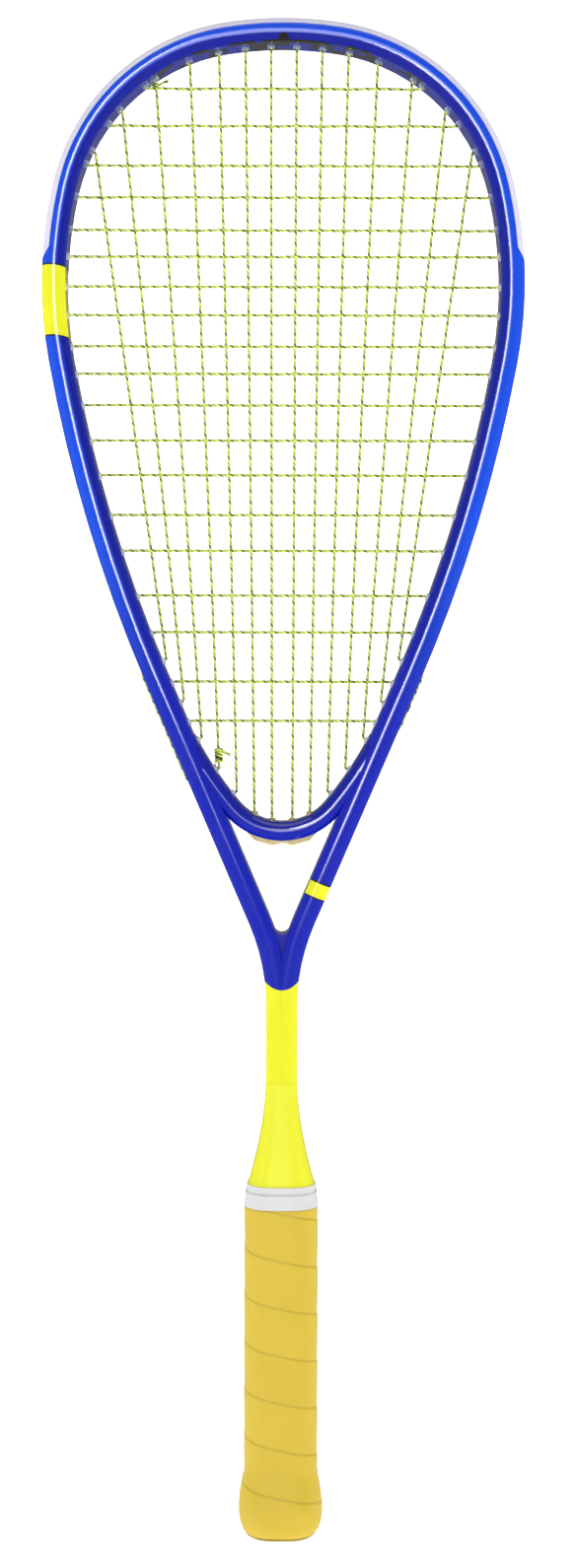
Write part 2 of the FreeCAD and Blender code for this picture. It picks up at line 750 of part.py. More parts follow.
def main_point(side, number, z):
    top = main_bend(side, number, True)
    bottom = main_bend(side, number, False)
    return bottom + (top - bottom) * ((z - bottom.z) / (top.z - bottom.z))


def weave_side(side, number, cross):
    """-1 where a main passes in front of a cross, 1 where it passes behind."""
    column = MAIN_COUNT + number if side > 0 else MAIN_COUNT - 1 - number
    return 1 if (column + cross) % 2 == 0 else -1


WEAVE_DEPTH = (STRING_DIAMETER + WEAVE_GAP) / 2 + WEAVE_CUT


def crossings():
    """Every place where a main meets a cross inside the head."""
    found = {}
    for side, number in TOP_HOLES:
        top = main_bend(side, number, True).z
        bottom = main_bend(side, number, False).z
        for cross, z in enumerate(CROSS_HEIGHTS):
            reach = CROSS_HOLES[1, cross].bend.x
            if bottom + STRING_DIAMETER < z < top - STRING_DIAMETER:
                point = main_point(side, number, z)
                if abs(point.x) < reach - STRING_DIAMETER:
                    found[side, number, cross] = point
    return found


CROSSINGS = crossings()


def enter(route, hole, shift=0.0):
    """From the groove, through a hole, to the bend inside the head."""
    offset = Vector(0, shift, 0)
    route.to(hole.run + offset, GROOVE_BEND_RADIUS)
    route.to(hole.bend + offset, GROMMET_BEND_RADIUS)


def leave(route, hole):
    route.to(hole.bend, GROMMET_BEND_RADIUS)
    route.to(hole.run, GROOVE_BEND_RADIUS)


def groove_run(route, side, begin, end, lane, rise=0.0):
    """Along the outside of the hoop between two holes, in its own lane of the groove."""
    shift = math.copysign(min(LANE_SHIFT, abs(end - begin) / 3), end - begin)
    stations = [begin + shift]
    length = (end - shift) - (begin + shift)
    steps = max(1, math.ceil(abs(length) / RUN_STEP))
    stations += [begin + shift + length * step / steps for step in range(1, steps + 1)]
    for station in stations:
        point = HOOP.point(station, RUN_OFFSET + rise)
        route.to(Vector(side * point.x, lane, point.z), RUN_BEND_RADIUS)


def across_crown(route):
    """The loop between the two middle mains, over the crown."""
    station = TOP_HOLES[1, 0].station
    inset = station - LANE_SHIFT
    point = HOOP.point(inset, RUN_OFFSET)
    for side in (-1, 1):
        route.to(Vector(side * point.x, -LANE, point.z), RUN_BEND_RADIUS)


def main_run(route, side, number, upward):
    """One main from hole to hole, over and under the crosses."""
    first, last = BOTTOM_HOLES[side, number], TOP_HOLES[side, number]
    rows = [cross for cross in range(len(CROSS_HEIGHTS)) if (side, number, cross) in CROSSINGS]
    if upward:
        rows.reverse()
    else:
        first, last = last, first
    enter(route, first)
    for cross in rows:
        point = Vector(CROSSINGS[side, number, cross])
        point.y = weave_side(side, number, cross) * WEAVE_DEPTH
        route.to(point)
    leave(route, last)


def knot_axis(side, number, top):
    """Where a knot begins on a main, and the way it is stacked, away from the wall."""
    bend = main_bend(side, number, top)
    rows = [cross for cross in range(len(CROSS_HEIGHTS)) if (side, number, cross) in CROSSINGS]
    cross = rows[0] if top else rows[-1]
    target = Vector(CROSSINGS[side, number, cross])
    target.y = weave_side(side, number, cross) * WEAVE_DEPTH
    way = (target - bend).normalize()
    return bend, way


def knot(side, number, top, rings, lead):
    """Half hitches round a main beside its grommet, with the string's cut tail."""
    bend, way = knot_axis(side, number, top)
    pieces = []
    for ring in range(rings):
        centre = bend + way * (lead + KNOT_PITCH * ring)
        pieces.append(Part.makeTorus(TIE_SIDE, STRING_DIAMETER / 2, centre, way))
    start = bend + Vector(0, TIE_SIDE, 0)
    end = bend + way * (lead + KNOT_PITCH * (rings - 1)) + Vector(0, TIE_SIDE, 0)
    pieces.append(Part.makeCylinder(SPINE_RADIUS, (end - start).Length, start, end - start))
    tail_way = Vector(-side, 0, TAIL_RISE if top else -TAIL_RISE).normalize()
    pieces.append(Part.makeCylinder(SPINE_RADIUS, TAIL_LENGTH, end, tail_way))
    pieces.append(Part.makeSphere(KNOT_LUMP_RADIUS, start))
    pieces.append(Part.makeSphere(KNOT_LUMP_RADIUS, end))
    return pieces


def handover_station():
    return CROSS_HOLES[1, len(CROSS_HEIGHTS) - 1].station


def main_strings():
    """The mains, from the knot at the lower left to the last main at the lower right."""
    route = Route()
    tie = BOTTOM_HOLES[-1, START_KNOT_MAIN]
    outermost = MAIN_COUNT - 1
    offset = Vector(0, TIE_SIDE, 0)
    route.to(tie.bend + offset, GROMMET_BEND_RADIUS)
    over = HOOP.point(tie.station, RUN_OFFSET + TIE_RISE)
    route.to(Vector(-over.x, TIE_SIDE, over.z), GROOVE_BEND_RADIUS)
    last_hole = BOTTOM_HOLES[-1, outermost]
    groove_run(route, -1, tie.station, last_hole.station, 0.0, TIE_RISE)
    for side in (-1, 1):
        order = range(outermost, -1, -1) if side < 0 else range(MAIN_COUNT)
        for number in order:
            upward = (outermost - number) % 2 == 0 if side < 0 else number % 2 == 1
            main_run(route, side, number, upward)
            following = number - 1 if side < 0 else number + 1
            if upward and side < 0 and number == 0:
                across_crown(route)
            elif 0 <= following < MAIN_COUNT:
                holes = TOP_HOLES if upward else BOTTOM_HOLES
                begin, end = holes[side, number], holes[side, following]
                if begin.station is not None and end.station is not None:
                    groove_run(route, side, begin.station, end.station, -LANE)
    begin, end = BOTTOM_HOLES[1, outermost].station, handover_station()
    middle = HOOP.point((begin + end) / 2, RUN_OFFSET + TIE_RISE)
    shifted = HOOP.point(begin + LANE_SHIFT, RUN_OFFSET + TIE_RISE)
    route.to(shifted, RUN_BEND_RADIUS)
    route.to(middle, RUN_BEND_RADIUS)
    pieces = [route.tube()]
    pieces += knot(-1, START_KNOT_MAIN, False, START_KNOT_RINGS, START_KNOT_LEAD)
    return solid_of(joined(pieces))


def cross_strings():
    """The crosses, from where the mains end to the knot at the upper left."""
    route = Route()
    last = len(CROSS_HEIGHTS) - 1
    begin, end = BOTTOM_HOLES[1, MAIN_COUNT - 1].station, handover_station()
    route.to(HOOP.point((begin + end) / 2, RUN_OFFSET + TIE_RISE), RUN_BEND_RADIUS)
    route.to(HOOP.point(end - LANE_SHIFT, RUN_OFFSET + TIE_RISE), RUN_BEND_RADIUS)
    side = 1
    for cross in range(last, -1, -1):
        enter(route, CROSS_HOLES[side, cross])
        row = [key for key in CROSSINGS if key[2] == cross]
        row.sort(key=lambda key: -side * CROSSINGS[key].x)
        for key in row:
            point = Vector(CROSSINGS[key])
            point.y = -weave_side(*key) * WEAVE_DEPTH
            route.to(point)
        side = -side
        leave(route, CROSS_HOLES[side, cross])
        if cross > 0:
            here, there = CROSS_HOLES[side, cross].station, CROSS_HOLES[side, cross - 1].station
            groove_run(route, side, here, there, LANE)
    tie = TOP_HOLES[-1, FINISH_KNOT_MAIN]
    groove_run(route, -1, CROSS_HOLES[-1, 0].station, tie.station, TIE_SIDE)
    enter(route, tie, TIE_SIDE)
    pieces = [route.tube()]
    pieces += knot(-1, FINISH_KNOT_MAIN, True, FINISH_KNOT_RINGS, FINISH_KNOT_LEAD)
    return solid_of(joined(pieces))


# ---------------------------------------------------------------- handle

def ring(width, z, depth_less=GRIP_WIDTH - GRIP_DEPTH):
    """A rounded rectangle across the handle; its depth is less than its width."""
    half_x, half_y = width / 2, (width - depth_less) / 2
    corner = min(GRIP_CORNER * width / GRIP_WIDTH, half_y - GRIP_FLAT / 2)
    bevel = corner * (1 - math.sqrt(0.5))
    edges = []
    quarters = [(1, 1), (-1, 1), (-1, -1), (1, -1)]
    starts = []
    for sign_x, sign_y in quarters:
        side = Vector(sign_x * half_x, sign_y * (half_y - corner), z)
        end = Vector(sign_x * (half_x - corner), sign_y * half_y, z)
        middle = Vector(sign_x * (half_x - bevel), sign_y * (half_y - bevel), z)
        if sign_x != sign_y:
            side, end = end, side
        starts.append((side, middle, end))
    for index, (begin, middle, end) in enumerate(starts):
        edges.append(Part.Arc(begin, middle, end).toShape())
        edges.append(Part.makeLine(end, starts[(index + 1) % 4][0]))
    return Part.Wire(edges)


def handle_loft(stations, ruled=False):
    return Part.makeLoft([ring(width, z) for width, z in stations], True, ruled)


def handle_bar(width, low, high):
    return Part.Face(ring(width, low)).extrude(Vector(0, 0, high - low))


PALLET_WIDTH = GRIP_WIDTH - 2 * WRAP_THICKNESS


def butt_width(z):
    """The wrapped butt's width: a round swell that eases into the grip above."""
    if z <= BUTT_HEIGHT:
        share = (BUTT_HEIGHT - z) / BUTT_HEIGHT
        return BUTT_BOTTOM_WIDTH + (BUTT_WIDTH - BUTT_BOTTOM_WIDTH) * math.sqrt(1 - share ** BUTT_SWELL)
    share = (z - BUTT_HEIGHT) / (BUTT_FLARE_TOP - BUTT_HEIGHT)
    return GRIP_WIDTH + (BUTT_WIDTH - GRIP_WIDTH) * (1 + math.cos(math.pi * share)) / 2


def butt_loft(inset, low, high):
    """The butt's outside, made smaller all round by inset, in rings between two heights."""
    heights = [share * BUTT_HEIGHT for share in BUTT_RINGS]
    heights = [z for z in heights if low < z < high]
    stations = [(butt_width(z) - 2 * inset, z) for z in [low] + heights + [high]]
    return handle_loft(stations, True)


def foam_flare():
    """The tapering neck between the grip and the shaft."""
    height = FLARE_TOP - COLLAR_TOP
    top = SHAFT_WIDTH + 2 * FLARE_EDGE
    growth = PALLET_WIDTH - top
    less_top = SHAFT_WIDTH - TUBE_DEPTH
    less_bottom = GRIP_WIDTH - GRIP_DEPTH
    wires = []
    for step in range(FLARE_STEPS + 1):
        share = step / FLARE_STEPS
        blend = share ** FLARE_POWER
        less = less_top + (less_bottom - less_top) * blend
        wires.append(ring(top + growth * blend, FLARE_TOP - height * share, less))
    return Part.makeLoft(wires, True, False)


def shaft_core(outside):
    return outside.common(Part.makeBox(GRIP_WIDTH, TUBE_DEPTH * 2, LENGTH,
                                       Vector(-GRIP_WIDTH / 2, -TUBE_DEPTH, 0)))


def staples():
    """Two wire staples through the butt cap's left and right walls."""
    half_width = butt_width(STAPLE_HEIGHT) / 2 - WRAP_THICKNESS
    crown = Part.makeBox(STAPLE_WIRE, STAPLE_WIDTH, STAPLE_WIRE)
    legs = []
    for y in (0.0, STAPLE_WIDTH - STAPLE_WIRE):
        legs.append(Part.makeBox(STAPLE_LEG, STAPLE_WIRE, STAPLE_WIRE, Vector(0, y, 0)))
    left = crown.multiFuse(legs).removeSplitter()
    left.translate(Vector(-half_width + STAPLE_WIRE / 2, -STAPLE_WIDTH / 2, STAPLE_HEIGHT))
    return Part.makeCompound([left, mirrored(left)])


def handle_foam(outside):
    """The moulded foam handle and its neck, cast round the shaft."""
    bar = handle_bar(PALLET_WIDTH, FOAM_BOTTOM, COLLAR_TOP)
    shape = joined([bar, foam_flare()])
    return solid_of(shape.cut([shaft_core(outside), staples()]))


def butt_cap():
    """The moulded cup over the end of the foam."""
    cup = butt_loft(WRAP_THICKNESS, WRAP_BOTTOM, CAP_TOP)
    foot = butt_loft(0.0, 0.0, WRAP_BOTTOM)
    shape = joined([cup, foot]).cut(handle_bar(PALLET_WIDTH, FOAM_BOTTOM, CAP_TOP + 1))
    return solid_of(shape.cut(staples()))


def grip_wrap():
    """The grip's cushioned strip, as the sleeve that it makes when wound."""
    butt = butt_loft(0.0, WRAP_BOTTOM, BUTT_FLARE_TOP)
    bar = handle_bar(GRIP_WIDTH, BUTT_FLARE_TOP, COLLAR_BOTTOM)
    end = handle_bar(PALLET_WIDTH + 2 * WRAP_END_THICKNESS, COLLAR_BOTTOM, WRAP_TOP)
    cap = butt_loft(WRAP_THICKNESS, WRAP_BOTTOM, CAP_TOP)
    foam = handle_bar(PALLET_WIDTH, WRAP_BOTTOM, WRAP_TOP)
    return solid_of(joined([butt, bar, end]).cut([cap, foam, staples()]))


def finishing_tape():
    """The tape that holds down the thin end of the wrap, under the collar."""
    width = PALLET_WIDTH + 2 * WRAP_END_THICKNESS
    outer = handle_bar(width + 2 * TAPE_THICKNESS, COLLAR_BOTTOM, WRAP_TOP)
    return solid_of(outer.cut(handle_bar(width, COLLAR_BOTTOM, WRAP_TOP)))


def grip_collar():
    """The two-step rubber ring that finishes the top of the grip."""
    wide = GRIP_WIDTH - 2 * COLLAR_INSET
    step = wide - 2 * COLLAR_STEP_WIDTH
    top = step - 2 * COLLAR_STEP_WIDTH
    lower = handle_loft([(wide, COLLAR_BOTTOM), (step, COLLAR_STEP)], True)
    upper = handle_bar(top, COLLAR_STEP, COLLAR_TOP)
    tape = handle_bar(PALLET_WIDTH + 2 * WRAP_END_THICKNESS + 2 * TAPE_THICKNESS, COLLAR_BOTTOM, WRAP_TOP)
    return solid_of(joined([lower, upper]).cut([tape, handle_bar(PALLET_WIDTH, COLLAR_BOTTOM, COLLAR_TOP)]))


def export(name, shape):
    if not shape.isValid():
        raise ValueError(name + " is not a valid shape")
    shape.exportStep(os.path.join("parts", name + ".step"))
    print("%s: %d solid(s), %.2f cm3" % (name, len(shape.Solids), shape.Volume / 1000))


def main():
    os.makedirs("parts", exist_ok=True)
    outside = hoop_outside()
    export("frame_tube", frame_tube(outside))
    export("throat_bridge", throat_bridge(outside))
    export("bumper_guard", bumper_guard())
    export("left_grommet_strip", grommet_strip(-1))
    export("right_grommet_strip", grommet_strip(1))
    export("throat_grommet_strip", throat_grommet_strip())
    export("main_strings", main_strings())
    export("cross_strings", cross_strings())
    export("handle_foam", handle_foam(outside))
    export("butt_cap", butt_cap())
    export("butt_cap_staples", staples())
    export("grip_wrap", grip_wrap())
    export("finishing_tape", finishing_tape())
    export("grip_collar", grip_collar())


main()
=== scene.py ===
"""The looks of a squash racket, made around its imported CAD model. Lengths are in metres."""
import math

import bpy
from mathutils import Matrix, Vector, noise


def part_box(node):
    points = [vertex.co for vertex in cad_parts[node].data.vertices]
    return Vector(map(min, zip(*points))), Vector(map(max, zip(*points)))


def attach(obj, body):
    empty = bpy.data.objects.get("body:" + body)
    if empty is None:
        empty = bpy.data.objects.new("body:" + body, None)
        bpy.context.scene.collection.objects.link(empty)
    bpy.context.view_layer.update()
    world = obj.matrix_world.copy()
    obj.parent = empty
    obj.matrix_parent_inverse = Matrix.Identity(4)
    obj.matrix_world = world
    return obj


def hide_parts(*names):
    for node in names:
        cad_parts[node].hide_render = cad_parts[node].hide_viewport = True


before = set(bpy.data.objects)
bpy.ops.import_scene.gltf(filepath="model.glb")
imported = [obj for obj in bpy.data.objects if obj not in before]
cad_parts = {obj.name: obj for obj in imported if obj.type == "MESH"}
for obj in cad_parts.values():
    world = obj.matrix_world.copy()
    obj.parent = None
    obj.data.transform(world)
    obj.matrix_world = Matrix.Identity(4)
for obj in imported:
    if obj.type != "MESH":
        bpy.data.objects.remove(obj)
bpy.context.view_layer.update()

MM = 0.001

# Camera: square on to the strings, a little above the middle.
CAMERA_PLACE = (0.0024, -1.0, 0.3945)
CAMERA_TILT = 87.18
CAMERA_ROLL = 0.144
CAMERA_LENS = 33.85
SENSOR_HEIGHT = 24.0

# Which way a wall of the hoop faces, and where painted light on the outward walls gives way to painted
# shade on the inward ones.
HEAD_MIDDLE = 0.49
HEAD_LEAN = 0.31
LEG_LEAN = -0.45
INNER_FACING = -0.38
OUTER_FACING = -0.02
THROAT_TOP = 0.36
HOOP_START = 0.47

# Black on the crown's inner wall: loose patches, and a small tab on the front.
PATCH_FACING = -0.75
PATCH_LOW = 640 * MM
PATCH_HALF_WIDTH = 62 * MM
PATCH_SCALE = 115.0
PATCH_EDGE = 0.50
TAB_HEIGHT = 675 * MM
TAB_RADIUS = 2.6 * MM

# Yellow on the frame: the shaft, a band round the hoop's left and one round the right leg.
YELLOW_TOP = 252.6 * MM
YELLOW_DIP = 2.7 * MM
YELLOW_HALF_WIDTH = 6.5 * MM
BAND_LOW = 544.6 * MM
BAND_HIGH = 575.2 * MM
BAND_EDGE = 0.7 * MM
BAND_BOW = -0.12
BAND_SLOPE = 0.10
BAND_SHIFT = 10.6 * MM
LEG_ANGLE = math.radians(23.2)
LEG_SIDE = 4 * MM
LEG_BAND_LOW = 276.8 * MM
LEG_BAND_HIGH = 283.2 * MM

BARREL_REACH = 1.9 * MM
BARREL_FACING = 0.3
TRACER_PITCH = 5.0 * MM
TRACER_RIDGES = 6

# The leather grip.
WRAP_PITCH = 21.7 * MM
WRAP_STEP = 0.38 * MM
WRAP_EDGE = 0.035
WRAP_START = 0.335
WRAP_INSET = 1.7 * MM
WRAP_ROWS = 400
WRAP_COLUMNS = 180
GRIP_WIDTH = 34 * MM
GRIP_DEPTH = 28 * MM
GRIP_CORNER = 12.5 * MM
BUTT_WIDTH = 38.7 * MM
BUTT_BOTTOM_WIDTH = 25 * MM
BUTT_HEIGHT = 14 * MM
BUTT_FLARE_TOP = 34 * MM
BUTT_SWELL = 2.6
COLLAR_BOTTOM = 153.2 * MM
LEAST_FLAT = 0.5 * MM
END_FADE = 3 * MM
END_SINK = 0.35 * MM
TUCK_RUN = 0.3 * MM
TUCK_DEPTH = 1.15 * MM
UNEVEN = 0.10 * MM
UNEVEN_ROUND = 2.2
UNEVEN_ALONG = 90

# Blues: a lighter copy with painted light for outward walls, a darker copy with painted shade for inward
# walls and the bridge's top, and the plain throat blue.
BLUE_PAINTED_LIGHT = (0.004, 0.070, 0.72)
BLUE_PAINTED_SHADE = (0.002, 0.008, 0.30)
BLUE_THROAT = (0.003, 0.012, 0.43)
NEON = (0.86, 0.86, 0.018)
NEON_CLOUD = (0.82, 0.83, 0.016)
INK = (0.010, 0.014, 0.06)
BLACK = (0.012, 0.012, 0.014)

# Backdrop: its half width, front, back, the radius where it turns up, and its top.
DROP_HALF = 4.0
DROP_FRONT = -3.5
DROP_BACK = 2.2
DROP_RADIUS = 0.9
DROP_TOP = 4.0
DROP_STEPS = 12

# Lights: name, place, target, width, height, watts, lights surfaces, shows in gloss.
HEAD_TARGET = (0.0, 0.0, 0.50)
MIDDLE_TARGET = (0.0, 0.0, 0.42)
LIGHTS = [
    ("front_light", (0.0, -1.5, 0.62), HEAD_TARGET, 0.22, 0.80, 2.4, True, True),
    ("crest_light", (-0.25, -1.5, 0.75), (0.0, 0.0, 0.45), 0.28, 0.9, 13.0, False, True),
    ("left_light", (-1.5, -0.5, 0.7), MIDDLE_TARGET, 0.9, 1.6, 11.0, True, False),
    ("right_light", (1.5, -0.5, 0.7), MIDDLE_TARGET, 0.9, 1.6, 11.0, True, False),
    ("top_light", (0.0, -0.3, 1.9), (0.0, 0.0, 0.4), 1.8, 1.2, 8.0, True, True),
]
WORLD_LIGHT = 0.16


class Graph:
    """A material's nodes, with short calls to add and join them."""

    def __init__(self, name):
        self.material = bpy.data.materials.new(name)
        self.material.use_nodes = True
        self.tree = self.material.node_tree
        self.shader = self.tree.nodes["Principled BSDF"]
        self.output = self.tree.nodes["Material Output"]

    def feed(self, socket, value):
        if isinstance(value, bpy.types.NodeSocket):
            self.tree.links.new(value, socket)
        elif hasattr(value, "__len__") and len(value) == 3 and socket.type == "RGBA":
            socket.default_value = (*value, 1.0)
        else:
            socket.default_value = value

    def add(self, kind, *values, **settings):
        node = self.tree.nodes.new(kind)
        for key, value in settings.items():
            setattr(node, key, value)
        for socket, value in zip(node.inputs, values):
            if value is not None:
                self.feed(socket, value)
        return node

    def math(self, operation, *values):
        return self.add("ShaderNodeMath", *values, operation=operation).outputs[0]

    def add_up(self, first, *others):
        for other in others:
            first = self.math("ADD", first, other)
        return first

    def both(self, first, *others):
        for other in others:
            first = self.math("MULTIPLY", first, other)
        return first

    def above(self, value, edge):
        return self.math("GREATER_THAN", value, edge)

    def below(self, value, edge):
        return self.math("LESS_THAN", value, edge)

    def between(self, value, low, high):
        return self.both(self.above(value, low), self.below(value, high))

    def ramp(self, value, low, high, start=0.0, end=1.0):
        """start where value is low, end where it is high, and smooth between them."""
        node = self.add("ShaderNodeMapRange", value, low, high, start, end)
        node.interpolation_type = "SMOOTHSTEP"
        return node.outputs[0]

    def mix(self, share, first, second):
        node = self.add("ShaderNodeMix", data_type="RGBA")
        self.feed(node.inputs[0], share)
        self.feed(node.inputs[6], first)
        self.feed(node.inputs[7], second)
        return node.outputs[2]

    def place(self):
        """The point's x, y and z."""
        return self.add("ShaderNodeTexCoord").outputs["Object"]

    def parts(self, vector):
        return self.add("ShaderNodeSeparateXYZ", vector).outputs[:]

    def normal(self):
        return self.parts(self.add("ShaderNodeNewGeometry").outputs["Normal"])

    def noise(self, scale, detail=3.0, roughness=0.5, vector=None):
        node = self.add("ShaderNodeTexNoise")
        self.feed(node.inputs["Vector"], vector or self.place())
        self.feed(node.inputs["Scale"], scale)
        self.feed(node.inputs["Detail"], detail)
        self.feed(node.inputs["Roughness"], roughness)
        return node.outputs[0]

    def cells(self, scale):
        node = self.add("ShaderNodeTexVoronoi", feature="F1")
        self.feed(node.inputs["Vector"], self.place())
        self.feed(node.inputs["Scale"], scale)
        return node.outputs["Distance"]

    def bump(self, height, distance, strength=1.0):
        node = self.add("ShaderNodeBump")
        self.feed(node.inputs["Height"], height)
        self.feed(node.inputs["Distance"], distance)
        self.feed(node.inputs["Strength"], strength)
        self.feed(self.shader.inputs["Normal"], node.outputs[0])

    def set(self, **values):
        for name, value in values.items():
            self.feed(self.shader.inputs[name.replace("_", " ")], value)


def facing(graph, x, z):
    """How a wall of the hoop faces: 1 straight away from the head's middle, -1 towards it."""
    nx, _, nz = graph.normal()
    along = graph.both(graph.math("SUBTRACT", z, HEAD_MIDDLE), HEAD_LEAN)
    leg = graph.both(graph.math("ABSOLUTE", x), LEG_LEAN)
    up = graph.math("MAXIMUM", along, leg)
    length = graph.math("SQRT", graph.add_up(graph.both(x, x), graph.both(up, up)))
    dot = graph.add_up(graph.both(nx, x), graph.both(nz, up))
    return graph.math("DIVIDE", dot, length)


def gloss_paint(graph, colour):
    """Clear lacquer over the colour, with the faint unevenness of a sprayed coat."""
    flow = graph.noise(900.0, 2.0)
    graph.bump(flow, 0.00002, 0.25)
    rough = graph.ramp(graph.noise(60.0, 3.0), 0.3, 0.7, 0.20, 0.27)
    graph.set(Base_Color=colour, Roughness=rough, Specular_IOR_Level=0.30)
    graph.set(Coat_Weight=1.0, Coat_Roughness=0.035, IOR=1.45)
    return graph.material


def blues_with_painted_light(graph, z, cosine):
    """Painted light and shade on the blue: lighter on walls that face out of the head, darker on those
    that face in; one plain blue round the throat.
    """
    hoop = graph.ramp(z, THROAT_TOP, HOOP_START)
    inner = graph.mix(hoop, BLUE_THROAT, BLUE_PAINTED_SHADE)
    # Painted light on walls that face out, painted shade on walls that face in.
    outward = graph.ramp(cosine, INNER_FACING, OUTER_FACING)
    return graph.mix(graph.both(outward, hoop), inner, BLUE_PAINTED_LIGHT)


def crown_black(graph, colour, place, cosine):
    """Plain black patches on the crown's inner wall, and the tab at its middle."""
    x, y, z = place
    nz = graph.normal()[2]
    wall = graph.both(graph.above(z, PATCH_LOW), graph.below(nz, PATCH_FACING),
                      graph.below(cosine, PATCH_FACING))
    patches = graph.above(graph.noise(PATCH_SCALE, 1.0, 0.4), PATCH_EDGE)
    middle = graph.below(graph.math("ABSOLUTE", x), PATCH_HALF_WIDTH)
    colour = graph.mix(graph.both(wall, patches, middle), colour, BLACK)
    rise = graph.math("POWER", graph.math("SUBTRACT", z, TAB_HEIGHT), 2.0)
    distance = graph.math("SQRT", graph.add_up(graph.both(x, x), rise))
    tab = graph.both(graph.below(distance, TAB_RADIUS), graph.below(y, 0.0))
    return graph.mix(tab, colour, BLACK)


def yellow(graph):
    return graph.mix(graph.ramp(graph.noise(25.0, 2.0), 0.3, 0.7), NEON, NEON_CLOUD)


def yellow_shaft(graph, z, x):
    """Where the shaft is yellow: under a shallow curve across its front."""
    edge = graph.math("POWER", graph.math("DIVIDE", x, YELLOW_HALF_WIDTH), 2.0)
    edge = graph.add_up(graph.both(edge, YELLOW_DIP), YELLOW_TOP)
    return graph.both(graph.below(z, edge), graph.below(z, YELLOW_TOP + 2 * YELLOW_DIP))


def outlined_band(graph, colour, paint, side, along, low, high):
    """A band of paint on one side, with a thin dark line along both its edges."""
    line = graph.both(side, graph.between(along, low - BAND_EDGE, high + BAND_EDGE))
    band = graph.both(side, graph.between(along, low, high))
    return graph.mix(band, graph.mix(line, colour, INK), paint)


def frame_paint():
    """Blue over the hoop, yellow below the throat, a band at the left and one round the right leg."""
    graph = Graph("frame_paint")
    x, y, z = graph.parts(graph.place())
    cosine = facing(graph, x, z)
    colour = crown_black(graph, blues_with_painted_light(graph, z, cosine), (x, y, z), cosine)
    paint = yellow(graph)
    colour = graph.mix(yellow_shaft(graph, z, x), colour, paint)
    bow = graph.add_up(z, graph.both(graph.math("ABSOLUTE", y), BAND_BOW),
                       graph.both(x, BAND_SLOPE), BAND_SHIFT)
    colour = outlined_band(graph, colour, paint, graph.below(x, 0.0), bow, BAND_LOW, BAND_HIGH)
    up_leg = graph.add_up(graph.both(x, math.sin(LEG_ANGLE)), graph.both(z, math.cos(LEG_ANGLE)))
    right = graph.above(x, LEG_SIDE)
    colour = outlined_band(graph, colour, paint, right, up_leg, LEG_BAND_LOW, LEG_BAND_HIGH)
    return gloss_paint(graph, colour)


def bridge_paint():
    """The bridge's blue, with painted shade darkening the side that faces the strings."""
    graph = Graph("bridge_paint")
    _, _, nz = graph.normal()
    # Painted shade: the upward side takes the darker blue.
    colour = graph.mix(graph.ramp(nz, -0.4, 0.6), BLUE_THROAT, BLUE_PAINTED_SHADE)
    return gloss_paint(graph, colour)


def clear_guard():
    """Milky clear nylon, a little scuffed, with painted shade on the barrels that sink into the frame."""
    graph = Graph("clear_guard")
    cloud = graph.noise(45.0, 4.0, 0.6)
    _, y, _ = graph.parts(graph.place())
    nz = graph.normal()[2]
    # Painted shade: the barrels, where they sink into the frame's holes, take a dark bluish grey.
    middle = graph.below(graph.math("ABSOLUTE", y), BARREL_REACH)
    barrel_shade = graph.both(middle, graph.below(nz, BARREL_FACING))
    colour = graph.mix(cloud, (0.76, 0.74, 0.96), (0.84, 0.82, 0.99))
    colour = graph.mix(barrel_shade, colour, (0.30, 0.33, 0.52))
    scuffs = graph.noise(420.0, 5.0, 0.7)
    graph.bump(scuffs, 0.00008, 0.35)
    graph.set(Base_Color=colour, Roughness=graph.ramp(scuffs, 0.35, 0.65, 0.30, 0.46))
    graph.set(Transmission_Weight=0.10, IOR=1.47, Subsurface_Weight=0.30)
    graph.set(Subsurface_Radius=(0.002, 0.002, 0.0025), Subsurface_Scale=1.0)
    return graph.material


def clear_plastic(name, pale, deep, transmission):
    """Moulded clear nylon of the grommets."""
    graph = Graph(name)
    cloud = graph.noise(160.0, 3.0)
    graph.bump(graph.noise(1500.0, 2.0), 0.00003, 0.3)
    graph.set(Base_Color=graph.mix(cloud, pale, deep), Roughness=graph.ramp(cloud, 0.3, 0.7, 0.26, 0.36))
    graph.set(Transmission_Weight=transmission, IOR=1.47)
    return graph.material


def string_material(name, across_x):
    """Pale nylon string with two dark tracer filaments that wind round it."""
    graph = Graph(name)
    x, y, z = graph.parts(graph.place())
    nx, ny, nz = graph.normal()
    along, side = (x, nz) if across_x else (z, nx)
    angle = graph.math("DIVIDE", graph.math("ARCTAN2", ny, side), 2 * math.pi)
    turn = graph.math("FRACT", graph.add_up(graph.math("DIVIDE", along, TRACER_PITCH), angle, 4.0))
    wide = graph.between(turn, 0.03, 0.30)
    thin = graph.between(turn, 0.50, 0.62)
    grain = graph.noise(2600.0, 2.0)
    pale = graph.mix(grain, (0.62, 0.80, 0.08), (0.74, 0.88, 0.16))
    colour = graph.mix(thin, pale, (0.16, 0.22, 0.03))
    colour = graph.mix(wide, colour, (0.05, 0.085, 0.018))
    ridge = graph.math("SINE", graph.both(turn, 2 * math.pi * TRACER_RIDGES))
    graph.bump(ridge, 0.00003, 0.6)
    graph.set(Base_Color=colour, Roughness=0.34, IOR=1.5, Subsurface_Weight=0.08)
    graph.set(Subsurface_Radius=(0.0006, 0.0006, 0.0004), Subsurface_Scale=1.0)
    return graph.material


def neck_paint():
    """Yellow lacquer over the foam neck: softer than the frame's."""
    graph = Graph("neck_paint")
    graph.bump(graph.noise(420.0, 3.0), 0.00006, 0.3)
    graph.set(Base_Color=yellow(graph), Roughness=0.30, Coat_Weight=0.4, Coat_Roughness=0.15)
    return graph.material


